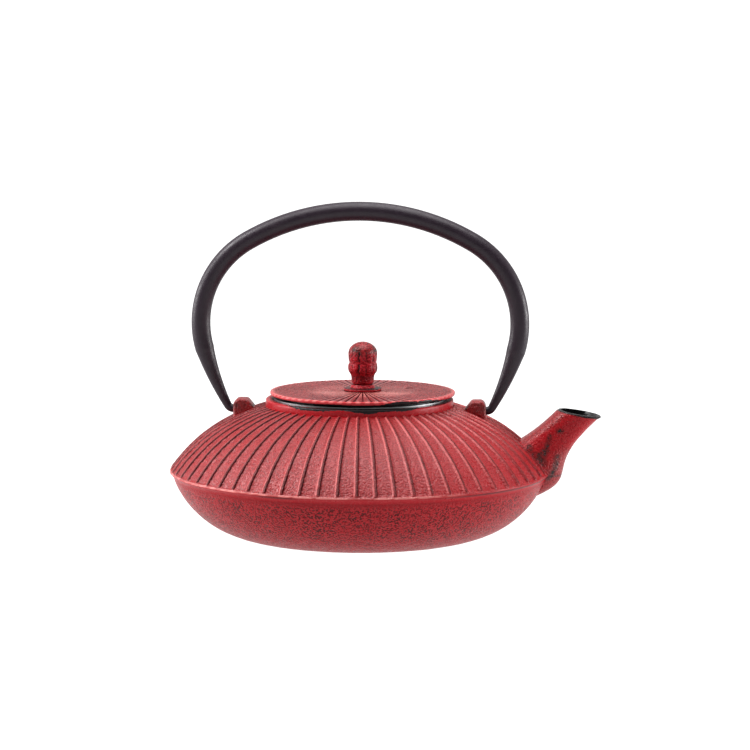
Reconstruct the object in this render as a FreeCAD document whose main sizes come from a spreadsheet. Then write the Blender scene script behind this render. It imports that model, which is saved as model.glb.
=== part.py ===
"""Cast iron teapot with a folding bail handle, a lift-off lid and a mesh infuser.

Frame: +Z up, the pot's axis on Z, its flat foot on z = 0, the spout along +X and
the handle's hinge axis parallel to X.  All sizes are millimetres.
"""
import FreeCAD, Part
import math
import os
import Sketcher
from FreeCAD import Placement, Rotation, Vector

# Driving dimensions: alias, value, what it measures.
SIZES = [
    # pot shell, outside
    ("foot_radius", 46.5, "flat foot"),
    ("bowl_round", 41.2, "radius of the bowl's arc"),
    ("bowl_top_radius", 83.9, "bowl just under the rim"),
    ("bowl_top_height", 27.9, "bowl just under the rim"),
    ("rim_radius", 85.0, "widest edge of the pot"),
    ("rim_height", 29.9, "widest edge of the pot"),
    ("lip_under", 28.9, "lower edge of the rim's lip"),
    ("shoulder_round_low", 70.2, "radius of the shoulder's lower arc"),
    ("shoulder_mid_radius", 65.3, "where the shoulder's two arcs meet"),
    ("shoulder_mid_height", 49.1, "where the shoulder's two arcs meet"),
    ("shoulder_round_high", 79.8, "radius of the shoulder's upper arc"),
    ("collar_radius", 42.0, "mouth collar, outside"),
    ("collar_foot", 59.0, "where the collar rises from the shoulder"),
    ("collar_top", 61.7, "top of the mouth collar"),
    # pot shell, inside
    ("mouth_radius", 38.9, "recess that holds the infuser's rim"),
    ("ledge_height", 60.9, "ledge under the infuser's rim"),
    ("throat_radius", 36.0, "narrowest part of the mouth"),
    ("throat_foot", 56.6, "lower edge of the throat"),
    ("mouth_cut_top", 64.0, "top of the cut that opens the mouth"),
    ("roof_mid_radius", 62.6, "inside of the shoulder"),
    ("roof_mid_height", 45.6, "inside of the shoulder"),
    ("hollow_radius", 80.3, "widest part of the inside"),
    ("hollow_height", 28.6, "widest part of the inside"),
    ("hollow_round", 38.5, "radius of the inside bowl's arc"),
    ("floor_radius", 44.5, "flat floor inside"),
    ("floor_height", 4.2, "flat floor inside"),
    # spout
    ("spout_root_width", 15.6, "half width where it leaves the shell"),
    ("spout_waist_width", 11.2, "half width control at the waist"),
    ("spout_neck_width", 7.2, "half width control at the neck"),
    ("spout_mouth_width", 9.2, "half width of the mouth"),
    ("spout_wall", 2.4, "wall of the spout"),
    ("spout_bore_reach", 1.0, "how far the spout's bore is cut past the mouth"),
    # handle lugs
    ("lug_outer", 56.6, "outer face, from the pot's axis"),
    ("lug_inner", 46.8, "inner foot, from the pot's axis"),
    ("lug_crown_outer", 54.9, "outer end of the flat crown"),
    ("lug_crown_inner", 50.3, "inner end of the flat crown"),
    ("lug_shoulder", 59.5, "top of the outer face"),
    ("lug_heel", 57.2, "top of the inner slope's foot"),
    ("lug_top", 61.4, "flat crown"),
    ("lug_root", 52.0, "buried foot of the lug"),
    ("lug_width", 10.0, "across the lug"),
    ("lug_edge", 1.9, "rounding of the lug's edges"),
    ("pivot_height", 56.6, "hinge axis of the handle"),
    ("pin_radius", 1.8, "handle's end, inside the lug"),
    ("pin_end", 49.9, "tip of the handle's end, from the pot's axis"),
    ("bore_end", 49.3, "bottom of the lug's bore, from the pot's axis"),
    ("running_gap", 0.06, "radial clearance of a turning fit"),
    # handle
    ("handle_top", 145.45, "centre line over the pot's axis"),
    ("handle_radius", 4.25, "full section"),
    ("top_round", 99.9, "radius of the top arc"),
    ("corner_round", 42.5, "radius of the corner arcs"),
    ("leg_round", 128.5, "radius of the legs' arcs"),
    ("hook_round", 2.9, "radius of the bend into the lug"),
    # lid
    ("lid_offset", 1.3, "how far the loose lid lies towards the spout"),
    ("lid_radius", 41.4, "outer edge"),
    ("lid_under", 63.5, "underside of the edge"),
    ("lid_edge", 64.9, "start of the edge's rounding"),
    ("lid_top", 65.3, "top face"),
    ("lid_top_radius", 40.9, "top face"),
    ("lid_roof", 62.5, "underside inside the ring"),
    ("lid_ring_outer", 35.8, "seat ring under the lid"),
    ("lid_skirt_outer", 32.2, "locating skirt"),
    ("lid_seat", 61.45, "bottom of the seat ring"),
    ("lid_skirt_inner", 29.9, "locating skirt"),
    ("lid_skirt_foot", 57.6, "locating skirt"),
    ("vent_radius", 1.75, "steam hole"),
    ("vent_distance", 23.0, "steam hole from the axis"),
    ("vent_bearing", 28.0, "degrees from +X towards +Y"),
    # knob and its fastening
    ("plate_radius", 8.5, "seat plate"),
    ("plate_top", 66.5, "seat plate"),
    ("pedestal_radius", 5.75, "foot of the pedestal"),
    ("pedestal_top_radius", 4.85, "top of the pedestal"),
    ("pedestal_top", 68.1, "top of the pedestal"),
    ("knob_foot", 68.15, "underside of the knob"),
    ("knob_foot_radius", 4.55, "underside of the knob"),
    ("knob_neck_radius", 4.9, "top of the neck"),
    ("knob_neck_top", 71.7, "top of the neck"),
    ("knob_skirt_radius", 6.6, "lower tier"),
    ("knob_skirt_height", 74.2, "lower tier"),
    ("knob_waist_radius", 6.3, "step between the tiers"),
    ("knob_waist_height", 77.8, "step between the tiers"),
    ("knob_crown_radius", 6.5, "upper tier"),
    ("knob_crown_height", 82.0, "upper tier"),
    ("knob_top", 87.2, "top of the dome"),
    ("knob_dome_round", 6.6625, "radius of the dome's arc"),
    ("flute_count", 12, "flutes round the knob"),
    ("flute_distance", 7.65, "flute centres from the knob's axis"),
    ("flute_radius", 1.65, "flutes round the knob"),
    ("flute_foot", 72.6, "lower end of the flutes"),
    ("flute_length", 9.6, "length of the flutes"),
    ("rivet_radius", 2.1, "rivet shank"),
    ("rivet_top", 80.0, "rivet's end inside the knob"),
    ("rivet_head_radius", 3.4, "peened head"),
    ("rivet_head_foot", 60.3, "peened head"),
    ("rivet_head_top", 61.6, "peened head"),
    ("washer_radius", 5.5, "washer under the lid"),
    ("washer_top", 62.45, "washer under the lid"),
    # infuser
    ("flange_top", 61.4, "flat of the infuser's rim"),
    ("bead_inner", 37.3, "rolled bead"),
    ("bead_outer", 38.6, "rolled bead"),
    ("bead_top", 62.3, "rolled bead"),
    ("flange_inner", 34.2, "rim's opening"),
    ("neck_outer", 34.9, "drawn neck of the rim"),
    ("neck_foot", 54.0, "drawn neck of the rim"),
    ("mesh_outer", 34.2, "mesh wall"),
    ("mesh_sheet", 0.5, "thickness of the mesh"),
    ("mesh_lap", 58.0, "top of the mesh, inside the neck"),
    ("cup_outer", 34.7, "base ring"),
    ("cup_inner", 30.4, "opening in the base ring"),
    ("cup_top", 25.0, "base ring"),
    ("cup_foot", 20.0, "base ring"),
    ("cup_sheet", 0.5, "sheet of the base ring"),
]

# Spout edges in the XZ plane, as Bezier control points from inside the shell to the mouth.
SPOUT_BACK = [(62.0, 38.5), (72.0, 43.0), (80.0, 49.0), (88.7, 57.9)]
SPOUT_FRONT = [(76.0, 17.3), (103.0, 28.0), (79.0, 29.5), (108.0, 54.9)]
SPOUT_STATIONS = 9
SECTION_POINTS = 24
ROOT_FULLNESS = 2.4         # exponent of the root section's superellipse; the mouth's is 2
ROOT_TAPER = 0.2            # how much wider the root section is towards the spout's back

BURIED_EDGE = 0.5           # edges of the lug this close to its buried foot stay sharp

RIVET_HOLE = "rivet_radius + running_gap"
LID_PIECES = ("lid", "knob_seat_plate", "lid_knob", "knob_rivet", "rivet_washer")

TOP_TURN = 30.1             # degrees turned by half of the handle's top arc
CORNER_TURN = 75.9          # degrees turned by each corner arc
TAPER_STATIONS = 9
TAPER_EASING = 0.85         # under 1, the legs thin faster near the arch

doc = FreeCAD.newDocument("teapot")
sheet = doc.addObject("Spreadsheet::Sheet", "dims")
for row, (alias, number, meaning) in enumerate(SIZES, start=1):
    sheet.set(f"A{row}", meaning)
    sheet.set(f"B{row}", str(number))
    sheet.setAlias(f"B{row}", alias)
doc.recompute()


def size(terms):
    """Value of a sum of sheet aliases such as 'pin_radius + running_gap'."""
    total = 0.0
    sign = 1
    for term in terms.split():
        if term in "+-":
            sign = 1 if term == "+" else -1
        else:
            total += sign * sheet.get(term)
    return total


def formula(terms):
    """The same sum as an expression for setExpression."""
    return " ".join(term if term in "+-" else f"dims.{term}" for term in terms.split())


def bind(target, path, terms):
    target.setExpression(path, formula(terms))


# ---------------------------------------------------------------- sketches and bodies

def new_body(label):
    body = doc.addObject("PartDesign::Body", label)
    body.Label = label
    if label in LID_PIECES:
        bind(body, "Placement.Base.x", "lid_offset")
    return body


def new_sketch(body, name, plane_role, offset=None):
    plane = next(item for item in body.Origin.OriginFeatures if item.Role == plane_role)
    sketch = body.newObject("Sketcher::SketchObject", name)
    sketch.AttachmentSupport = [(plane, "")]
    sketch.MapMode = "FlatFace"
    if offset:
        bind(sketch, "AttachmentOffset.Base.z", offset)
    return sketch


def arc_geometry(start, end, radius, bulge):
    """Arc from start to end; bulge 1 swells to the left of the travel, -1 to the right."""
    chord = end - start
    half = chord.Length / 2
    left = Vector(-chord.y, chord.x, 0).normalize()
    centre = (start + end) / 2 - left * bulge * math.sqrt(radius ** 2 - half ** 2)
    first, last = (end, start) if bulge > 0 else (start, end)
    angles = [math.atan2(point.y - centre.y, point.x - centre.x) for point in (first, last)]
    if angles[1] < angles[0]:
        angles[1] += 2 * math.pi
    circle = Part.Circle(centre, Vector(0, 0, 1), radius)
    return Part.ArcOfCircle(circle, angles[0], angles[1])


def draw_outline(sketch, corners, arcs=None):
    """Closed outline: corners are pairs of alias sums, '' for a corner on an axis.

    arcs maps the index of a corner to (radius, bulge) of the arc that leaves it.
    """
    arcs = arcs or {}
    points = [Vector(size(x) if x else 0, size(y) if y else 0, 0) for x, y in corners]
    count = len(points)
    for index, start in enumerate(points):
        end = points[(index + 1) % count]
        if index in arcs:
            radius, bulge = arcs[index]
            sketch.addGeometry(arc_geometry(start, end, size(radius), bulge))
        else:
            sketch.addGeometry(Part.LineSegment(start, end))

    def tail(index):
        return 2 if index in arcs and arcs[index][1] > 0 else 1

    for index in range(count):
        before = (index - 1) % count
        sketch.addConstraint(
            Sketcher.Constraint("Coincident", before, 3 - tail(before), index, tail(index)))
    for index, (across, up) in enumerate(corners):
        for kind, terms, axis in (("DistanceX", across, -2), ("DistanceY", up, -1)):
            if terms:
                made = sketch.addConstraint(Sketcher.Constraint(
                    kind, -1, 1, index, tail(index), size(terms)))
                bind(sketch, f"Constraints[{made}]", terms)
            else:
                sketch.addConstraint(
                    Sketcher.Constraint("PointOnObject", index, tail(index), axis))
    for index, (radius, _) in arcs.items():
        made = sketch.addConstraint(Sketcher.Constraint("Radius", index, size(radius)))
        bind(sketch, f"Constraints[{made}]", radius)


def draw_circle(sketch, radius, centre=None):
    """Circle on the origin, or at a distance of centre along the sketch's X axis."""
    middle = Vector(size(centre) if centre else 0, 0, 0)
    index = sketch.addGeometry(Part.Circle(middle, Vector(0, 0, 1), size(radius)))
    made = sketch.addConstraint(Sketcher.Constraint("Radius", index, size(radius)))
    bind(sketch, f"Constraints[{made}]", radius)
    if centre:
        sketch.addConstraint(Sketcher.Constraint("PointOnObject", index, 3, -1))
        made = sketch.addConstraint(
            Sketcher.Constraint("DistanceX", -1, 1, index, 3, size(centre)))
        bind(sketch, f"Constraints[{made}]", centre)
    else:
        sketch.addConstraint(Sketcher.Constraint("Coincident", index, 3, -1, 1))


def turned_body(label, corners, arcs=None):
    """Body turned about Z from an outline in the XZ plane."""
    body = new_body(label)
    sketch = new_sketch(body, f"{label}_outline", "XZ_Plane")
    draw_outline(sketch, corners, arcs)
    turn = body.newObject("PartDesign::Revolution", f"{label}_turn")
    turn.Profile = sketch
    turn.ReferenceAxis = (sketch, ["V_Axis"])
    turn.Angle = 360
    sketch.Visibility = False
    doc.recompute()
    return body


def flat_body(label, foot, thickness, outer, inner=None):
    """Flat disc or ring: foot is its height, the sizes are alias sums."""
    body = new_body(label)
    sketch = new_sketch(body, f"{label}_outline", "XY_Plane", foot)
    draw_circle(sketch, outer)
    if inner:
        draw_circle(sketch, inner)
    pad = body.newObject("PartDesign::Pad", f"{label}_pad")
    pad.Profile = sketch
    bind(pad, "Length", thickness)
    doc.recompute()
    return body


# ---------------------------------------------------------------- pot body

def bezier(points, share):
    """Point of the cubic through the control points, as (x, z)."""
    rest = 1 - share
    weights = (rest ** 3, 3 * rest ** 2 * share, 3 * rest * share ** 2, share ** 3)
    return [sum(w * point[axis] for w, point in zip(weights, points)) for axis in (0, 1)]


def spout_section(share, inset):
    """Closed smooth wire across the spout, wider towards its back edge."""
    back = bezier(SPOUT_BACK, share)
    front = bezier(SPOUT_FRONT, share)
    widths = [(0, size(f"spout_{place}_width")) for place in ("root", "waist", "neck", "mouth")]
    half_width = bezier(widths, share)[1] - inset
    middle = Vector((back[0] + front[0]) / 2, 0, (back[1] + front[1]) / 2)
    along = Vector(back[0] - front[0], 0, back[1] - front[1])
    half_length = along.Length / 2 - inset
    along.normalize()
    power = 2 / (ROOT_FULLNESS + (2 - ROOT_FULLNESS) * share)
    taper = ROOT_TAPER * (1 - share)
    points = []
    for step in range(SECTION_POINTS):
        angle = 2 * math.pi * step / SECTION_POINTS
        run = math.copysign(abs(math.cos(angle)) ** power, math.cos(angle))
        side = math.copysign(abs(math.sin(angle)) ** power, math.sin(angle))
        side *= 1 + taper * run
        points.append(middle + along * half_length * run + Vector(0, half_width * side, 0))
    curve = Part.BSplineCurve()
    curve.interpolate(points, PeriodicFlag=True)
    return Part.Wire(curve.toShape())


def spout_solid(name, inset, reach):
    """Loft through the sections; reach carries it a little past the mouth."""
    sections = [spout_section(step / (SPOUT_STATIONS - 1), inset)
                for step in range(SPOUT_STATIONS)]
    if reach:
        lip_run = Vector(SPOUT_FRONT[-1][0] - SPOUT_BACK[-1][0], 0,
                         SPOUT_FRONT[-1][1] - SPOUT_BACK[-1][1])
        lip_normal = Vector(-lip_run.z, 0, lip_run.x).normalize()
        end = sections[-1].copy()
        end.translate(lip_normal * reach)
        sections.append(end)
    solid = doc.addObject("Part::Feature", name)
    solid.Shape = Part.makeLoft(sections, True)
    return solid


def lug_blank():
    """Rounded block that carries one end of the handle."""
    body = new_body("lug")
    sketch = new_sketch(body, "lug_outline", "XZ_Plane")
    draw_outline(sketch, [
        ("lug_inner", "lug_root"), ("lug_outer", "lug_root"), ("lug_outer", "lug_shoulder"),
        ("lug_crown_outer", "lug_top"), ("lug_crown_inner", "lug_top"),
        ("lug_inner", "lug_heel")])
    pad = body.newObject("PartDesign::Pad", "lug_pad")
    pad.Profile = sketch
    pad.SideType = "Symmetric"
    bind(pad, "Length", "lug_width")
    doc.recompute()
    rounded = body.newObject("PartDesign::Fillet", "lug_rounding")
    edges = [f"Edge{number}" for number, edge in enumerate(pad.Shape.Edges, start=1)
             if edge.CenterOfMass.z > size("lug_root") + BURIED_EDGE]
    rounded.Base = (pad, edges)
    bind(rounded, "Radius", "lug_edge")
    doc.recompute()
    return body


def lug_bore(side):
    """Blind bore for the handle's end, opening outwards."""
    bore = doc.addObject("Part::Cylinder", f"lug_bore_{side}")
    bind(bore, "Radius", "pin_radius + running_gap")
    bind(bore, "Height", "lug_outer - bore_end + lug_width")
    direction = 1 if side == "spout" else -1
    bore.Placement = Placement(Vector(0, 0, 0), Rotation(Vector(0, 1, 0), 90 * direction))
    bore.setExpression("Placement.Base.x", f"{direction} * dims.bore_end")
    bind(bore, "Placement.Base.z", "pivot_height")
    return bore


def make_pot_body():
    shell = turned_body("pot_blank", [
        ("", ""), ("foot_radius", ""), ("bowl_top_radius", "bowl_top_height"),
        ("rim_radius", "lip_under"), ("rim_radius", "rim_height"),
        ("shoulder_mid_radius", "shoulder_mid_height"), ("collar_radius", "collar_foot"),
        ("collar_radius", "collar_top"), ("", "collar_top")],
        {1: ("bowl_round", -1), 4: ("shoulder_round_low", -1), 5: ("shoulder_round_high", -1)})
    hollow = turned_body("pot_hollow", [
        ("", "floor_height"), ("floor_radius", "floor_height"),
        ("hollow_radius", "hollow_height"), ("roof_mid_radius", "roof_mid_height"),
        ("throat_radius", "throat_foot"), ("throat_radius", "ledge_height"),
        ("mouth_radius", "ledge_height"), ("mouth_radius", "mouth_cut_top"),
        ("", "mouth_cut_top")],
        {1: ("hollow_round", -1), 2: ("shoulder_round_low", -1),
         3: ("shoulder_round_high", -1)})
    lug = lug_blank()
    far_lug = doc.addObject("Part::Mirroring", "lug_opposite")
    far_lug.Source = lug
    far_lug.Normal = Vector(1, 0, 0)
    solid = doc.addObject("Part::MultiFuse", "pot_solid")
    solid.Shapes = [shell, spout_solid("spout_blank", 0, 0), lug, far_lug]
    space = doc.addObject("Part::MultiFuse", "pot_space")
    space.Shapes = [hollow, spout_solid("spout_bore", size("spout_wall"),
                                        size("spout_bore_reach")),
                    lug_bore("spout"), lug_bore("back")]
    pot = doc.addObject("Part::Cut", "pot_body")
    pot.Base = solid
    pot.Tool = space
    return pot


# ---------------------------------------------------------------- handle

def handle_route():
    """Half of the centre line as arcs: (centre x, centre z, radius, first and last heading).

    A heading is the angle turned since the top, where the line runs along +X.
    """
    arcs = []
    x, z, heading = 0.0, size("handle_top"), 0.0
    hook = size("hook_round")
    leg = size("leg_round")
    for radius, turn in ((size("top_round"), TOP_TURN), (size("corner_round"), CORNER_TURN)):
        first, heading = heading, heading + math.radians(turn)
        centre_x = x - radius * math.sin(first)
        centre_z = z - radius * math.cos(first)
        arcs.append((centre_x, centre_z, radius, first, heading))
        x = centre_x + radius * math.sin(heading)
        z = centre_z + radius * math.cos(heading)
    centre_x = x - leg * math.sin(heading)
    centre_z = z - leg * math.cos(heading)
    last = math.acos((size("pivot_height") + hook - centre_z) / (leg - hook))
    arcs.append((centre_x, centre_z, leg, heading, last))
    hook_x = centre_x + (leg - hook) * math.sin(last)
    hook_z = centre_z + (leg - hook) * math.cos(last)
    arcs.append((hook_x, hook_z, hook, last, math.pi))
    return arcs


def on_arc(arc, heading, side=1):
    centre_x, centre_z, radius = arc[:3]
    return Vector(side * (centre_x + radius * math.sin(heading)), 0,
                  centre_z + radius * math.cos(heading))


def ring(centre, heading, radius, side):
    """Circle square to the centre line."""
    direction = Vector(side * math.cos(heading), 0, -math.sin(heading))
    return Part.Wire(Part.Circle(centre, direction, radius).toShape())


def make_handle():
    top, corner, leg, hook = handle_route()
    full = size("handle_radius")
    pin = size("pin_radius")
    start = math.radians(-TOP_TURN)
    path = Part.Wire([
        Part.Arc(on_arc(corner, corner[4], -1),
                 on_arc(corner, (corner[3] + corner[4]) / 2, -1),
                 on_arc(corner, corner[3], -1)).toShape(),
        Part.Arc(on_arc(top, start), on_arc(top, 0), on_arc(top, -start)).toShape(),
        Part.Arc(on_arc(corner, corner[3]), on_arc(corner, (corner[3] + corner[4]) / 2),
                 on_arc(corner, corner[4])).toShape()])
    route = doc.addObject("Part::Feature", "handle_path")
    route.Shape = path
    section = doc.addObject("Part::Circle", "handle_section")
    bind(section, "Radius", "handle_radius")
    first = on_arc(corner, corner[4], -1)
    tangent = Vector(math.cos(corner[4]), 0, math.sin(corner[4]))
    section.Placement = Placement(first, Rotation(Vector(0, 0, 1), tangent))
    arch = doc.addObject("Part::Sweep", "handle_arch")
    arch.Sections = [section]
    arch.Spine = (route, [])
    arch.Solid = True
    pieces = [arch]
    for side, name in ((1, "spout"), (-1, "back")):
        rings = []
        for step in range(TAPER_STATIONS):
            share = step / (TAPER_STATIONS - 1)
            heading = leg[3] + (leg[4] - leg[3]) * share
            easing = share ** TAPER_EASING
            rings.append(ring(on_arc(leg, heading, side), heading,
                              full + (pin - full) * easing, side))
        taper = doc.addObject("Part::Feature", f"handle_leg_{name}")
        taper.Shape = Part.makeLoft(rings, True)
        bend = doc.addObject("Part::Feature", f"handle_bend_{name}")
        bend_path = Part.Arc(on_arc(hook, hook[3], side),
                             on_arc(hook, (hook[3] + hook[4]) / 2, side),
                             on_arc(hook, hook[4], side)).toShape()
        bend.Shape = Part.Wire(bend_path).makePipeShell(
            [ring(on_arc(hook, hook[3], side), hook[3], pin, side)], True, True)
        inner = on_arc(hook, hook[4], side)
        tip = doc.addObject("Part::Cylinder", f"handle_pin_{name}")
        bind(tip, "Radius", "pin_radius")
        tip.setExpression("Height", f"{abs(inner.x)} - dims.pin_end")
        tip.Placement = Placement(Vector(0, 0, 0), Rotation(Vector(0, 1, 0), 90 * side))
        tip.setExpression("Placement.Base.x", f"{side} * dims.pin_end")
        bind(tip, "Placement.Base.z", "pivot_height")
        pieces += [taper, bend, tip]
    handle = doc.addObject("Part::MultiFuse", "handle_bail")
    handle.Shapes = pieces
    return handle


# ---------------------------------------------------------------- lid and knob

def make_lid():
    """Flat cast lid with a seat ring and a locating skirt underneath."""
    body = turned_body("lid", [
        (RIVET_HOLE, "lid_roof"), ("lid_skirt_inner", "lid_roof"),
        ("lid_skirt_inner", "lid_skirt_foot"), ("lid_skirt_outer", "lid_skirt_foot"),
        ("lid_skirt_outer", "lid_seat"), ("lid_ring_outer", "lid_seat"),
        ("lid_ring_outer", "lid_under"), ("lid_radius", "lid_under"),
        ("lid_radius", "lid_edge"), ("lid_top_radius", "lid_top"),
        (RIVET_HOLE, "lid_top")])
    vent = new_sketch(body, "vent_outline", "XY_Plane", "lid_top")
    bearing = math.radians(sheet.get("vent_bearing"))
    centre = Vector(math.cos(bearing), math.sin(bearing), 0) * sheet.get("vent_distance")
    hole = vent.addGeometry(Part.Circle(centre, Vector(0, 0, 1), sheet.get("vent_radius")))
    made = vent.addConstraint(Sketcher.Constraint("Radius", hole, sheet.get("vent_radius")))
    bind(vent, f"Constraints[{made}]", "vent_radius")
    for kind, share in (("DistanceX", "cos"), ("DistanceY", "sin")):
        offset = centre.x if kind == "DistanceX" else centre.y
        made = vent.addConstraint(Sketcher.Constraint(kind, -1, 1, hole, 3, offset))
        vent.setExpression(f"Constraints[{made}]",
                           f"dims.vent_distance * {share}(dims.vent_bearing * 1 deg)")
    pocket = body.newObject("PartDesign::Pocket", "vent_hole")
    pocket.Profile = vent
    bind(pocket, "Length", "lid_top - lid_roof + vent_radius")
    doc.recompute()
    return body


def make_seat_plate():
    """Plate with a pedestal, between the knob and the lid."""
    return turned_body("knob_seat_plate", [
        (RIVET_HOLE, "lid_top"), ("plate_radius", "lid_top"),
        ("plate_radius", "plate_top"), ("pedestal_radius", "plate_top"),
        ("pedestal_top_radius", "pedestal_top"), (RIVET_HOLE, "pedestal_top")])


def make_knob():
    """Two-tiered knob with a ring of shallow flutes, bored for the rivet."""
    body = turned_body("lid_knob", [
        ("rivet_radius", "knob_foot"), ("knob_foot_radius", "knob_foot"),
        ("knob_neck_radius", "knob_neck_top"), ("knob_skirt_radius", "knob_skirt_height"),
        ("knob_waist_radius", "knob_waist_height"),
        ("knob_crown_radius", "knob_crown_height"), ("", "knob_top"), ("", "rivet_top"),
        ("rivet_radius", "rivet_top")],
        {5: ("knob_dome_round", -1)})
    sketch = new_sketch(body, "flute_outline", "XY_Plane", "flute_foot + flute_length")
    draw_circle(sketch, "flute_radius", "flute_distance")
    flute = body.newObject("PartDesign::Pocket", "flute")
    flute.Profile = sketch
    bind(flute, "Length", "flute_length")
    doc.recompute()
    flutes = body.newObject("PartDesign::PolarPattern", "flutes")
    flutes.Originals = [flute]
    flutes.Axis = (sketch, ["N_Axis"])
    flutes.Angle = 360
    bind(flutes, "Occurrences", "flute_count")
    body.Tip = flutes
    doc.recompute()
    return body


def make_rivet():
    """Steel rivet, pressed into the knob and peened over the washer."""
    return turned_body("knob_rivet", [
        ("", "rivet_head_foot"), ("rivet_head_radius", "rivet_head_foot"),
        ("rivet_head_radius", "rivet_head_top"), ("rivet_radius", "rivet_head_top"),
        ("rivet_radius", "rivet_top"), ("", "rivet_top")])


def make_washer():
    return flat_body("rivet_washer", "rivet_head_top", "washer_top - rivet_head_top",
                     "washer_radius", RIVET_HOLE)


# ---------------------------------------------------------------- infuser

def make_infuser_rim():
    """Pressed flange with a rolled bead outside and a drawn neck inside."""
    return turned_body("infuser_rim", [
        ("mesh_outer", "neck_foot"), ("neck_outer", "neck_foot"),
        ("neck_outer", "ledge_height"), ("bead_outer", "ledge_height"),
        ("bead_outer", "bead_top"), ("bead_inner", "bead_top"),
        ("bead_inner", "flange_top"), ("mesh_outer", "flange_top")])


def make_mesh_wall():
    return flat_body("infuser_mesh_wall", "cup_foot + cup_sheet", "mesh_lap - cup_foot - cup_sheet",
                     "mesh_outer", "mesh_outer - mesh_sheet")


def make_mesh_floor():
    return flat_body("infuser_mesh_floor", "cup_foot + cup_sheet", "mesh_sheet",
                     "mesh_outer - mesh_sheet")


def make_base_ring():
    """Pressed ring that holds the mesh wall and the mesh floor together."""
    return turned_body("infuser_base_ring", [
        ("cup_inner", "cup_foot"), ("cup_outer", "cup_foot"), ("cup_outer", "cup_top"),
        ("mesh_outer", "cup_top"), ("mesh_outer", "cup_foot + cup_sheet"),
        ("cup_inner", "cup_foot + cup_sheet")])


# ---------------------------------------------------------------- build, check, export

def main():
    parts = [make_pot_body(), make_handle(), make_lid(), make_seat_plate(), make_knob(),
             make_rivet(), make_washer(), make_infuser_rim(), make_mesh_wall(),
             make_mesh_floor(), make_base_ring()]
    doc.recompute()
    for item in doc.Objects:
        if {"Invalid", "Error"} & set(item.State):
            raise RuntimeError(f"{item.Label} failed to recompute: {item.State}")
    os.makedirs("parts", exist_ok=True)
    for part in parts:
        shape = part.Shape
        if shape.isNull() or not shape.isValid() or len(shape.Solids) != 1:
            raise RuntimeError(f"{part.Label} is not one valid solid")
        shape.exportStep(f"parts/{part.Label}.step")
        box = shape.BoundBox
        print(f"{part.Label:20s} {shape.Volume / 1000:9.3f} cm3  "
              f"x {box.XMin:8.2f} {box.XMax:8.2f}  y {box.YMin:8.2f} {box.YMax:8.2f}  "
              f"z {box.ZMin:8.2f} {box.ZMax:8.2f}")


main()
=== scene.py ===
import math

import bmesh
import bpy
import numpy as np
from mathutils import Matrix, Vector


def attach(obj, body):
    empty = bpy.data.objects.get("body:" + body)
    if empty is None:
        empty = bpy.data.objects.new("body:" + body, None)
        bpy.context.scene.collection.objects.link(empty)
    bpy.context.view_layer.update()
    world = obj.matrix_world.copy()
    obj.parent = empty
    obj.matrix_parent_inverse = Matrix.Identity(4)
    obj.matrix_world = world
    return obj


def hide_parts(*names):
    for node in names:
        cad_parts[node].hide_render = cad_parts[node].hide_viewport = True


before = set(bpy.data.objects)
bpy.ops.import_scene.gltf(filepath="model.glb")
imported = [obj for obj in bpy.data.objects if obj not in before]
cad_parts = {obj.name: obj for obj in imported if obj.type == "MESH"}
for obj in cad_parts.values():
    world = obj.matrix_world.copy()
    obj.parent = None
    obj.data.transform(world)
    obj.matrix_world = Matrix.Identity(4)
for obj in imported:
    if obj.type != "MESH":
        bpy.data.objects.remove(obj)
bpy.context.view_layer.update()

# The teapot's looks, built round its CAD frame: ribbed pot with spout and lugs, ribbed lid,
# fluted knob and its plate, and the infuser's woven wire.  The handle, the rivet, its washer
# and the infuser's pressed rings are the CAD nodes themselves.  Lengths are millimetres, as
# in the CAD, until make_object turns them into metres.
MM = 0.001


# ---- shared geometry tools

def smooth_step(low, high, values):
    """0 at low and 1 at high, with soft ends; low may be the greater of the two."""
    share = np.clip((values - low) / (high - low), 0, 1)
    return share * share * (3 - 2 * share)


def between(start, full, fading, end, values):
    """Rises from start to full, and falls from fading to end."""
    return smooth_step(start, full, values) * smooth_step(end, fading, values)


AXIS_FACTORS, SEED_FACTOR, MIX_FACTOR = (73856093, 19349663, 83492791), 974711, 1274126177
SEED_SHIFT = 31.7


def lattice_noise(points, pitch, seed):
    """Smooth noise from -1 to 1 at points (n, 3), with lumps about pitch wide."""
    scaled = points / pitch + SEED_SHIFT * seed
    cell = np.floor(scaled).astype(np.int64)
    part = scaled - cell
    ease = part * part * (3 - 2 * part)
    total = np.zeros(len(points))
    for corner in range(8):
        step = np.array([corner >> axis & 1 for axis in range(3)])
        key = ((cell + step) * AXIS_FACTORS).sum(axis=1) + seed * SEED_FACTOR
        key = ((key ^ key >> 13) * MIX_FACTOR) & 0x7FFFFFFF
        value = ((key ^ key >> 15) & 0xFFFF) / 0x8000 - 1
        total += value * np.prod(np.where(step == 1, ease, 1 - ease), axis=1)
    return total


def arc(start, end, radius, count):
    """Points from start to end along an arc that bulges to the right of the travel."""
    start, end = np.array(start, float), np.array(end, float)
    chord = end - start
    half = np.hypot(*chord) / 2
    left = np.array([-chord[1], chord[0]]) / (2 * half)
    centre = (start + end) / 2 + left * math.sqrt(radius ** 2 - half ** 2)
    first = math.atan2(start[1] - centre[1], start[0] - centre[0])
    angles = first + 2 * math.asin(half / radius) * np.linspace(0, 1, count)
    return centre + radius * np.stack([np.cos(angles), np.sin(angles)], axis=1)


def outline_normals(outline):
    """Unit normals to the right of the travel along an open outline (n, 2)."""
    run = np.gradient(outline, axis=0)
    run /= np.hypot(run[:, 0], run[:, 1])[:, None]
    return np.stack([run[:, 1], -run[:, 0]], axis=1)


def run_along(outline):
    """Distance of each point of an outline from its first."""
    return np.concatenate([[0], np.cumsum(np.hypot(*np.diff(outline, axis=0).T))])


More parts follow.
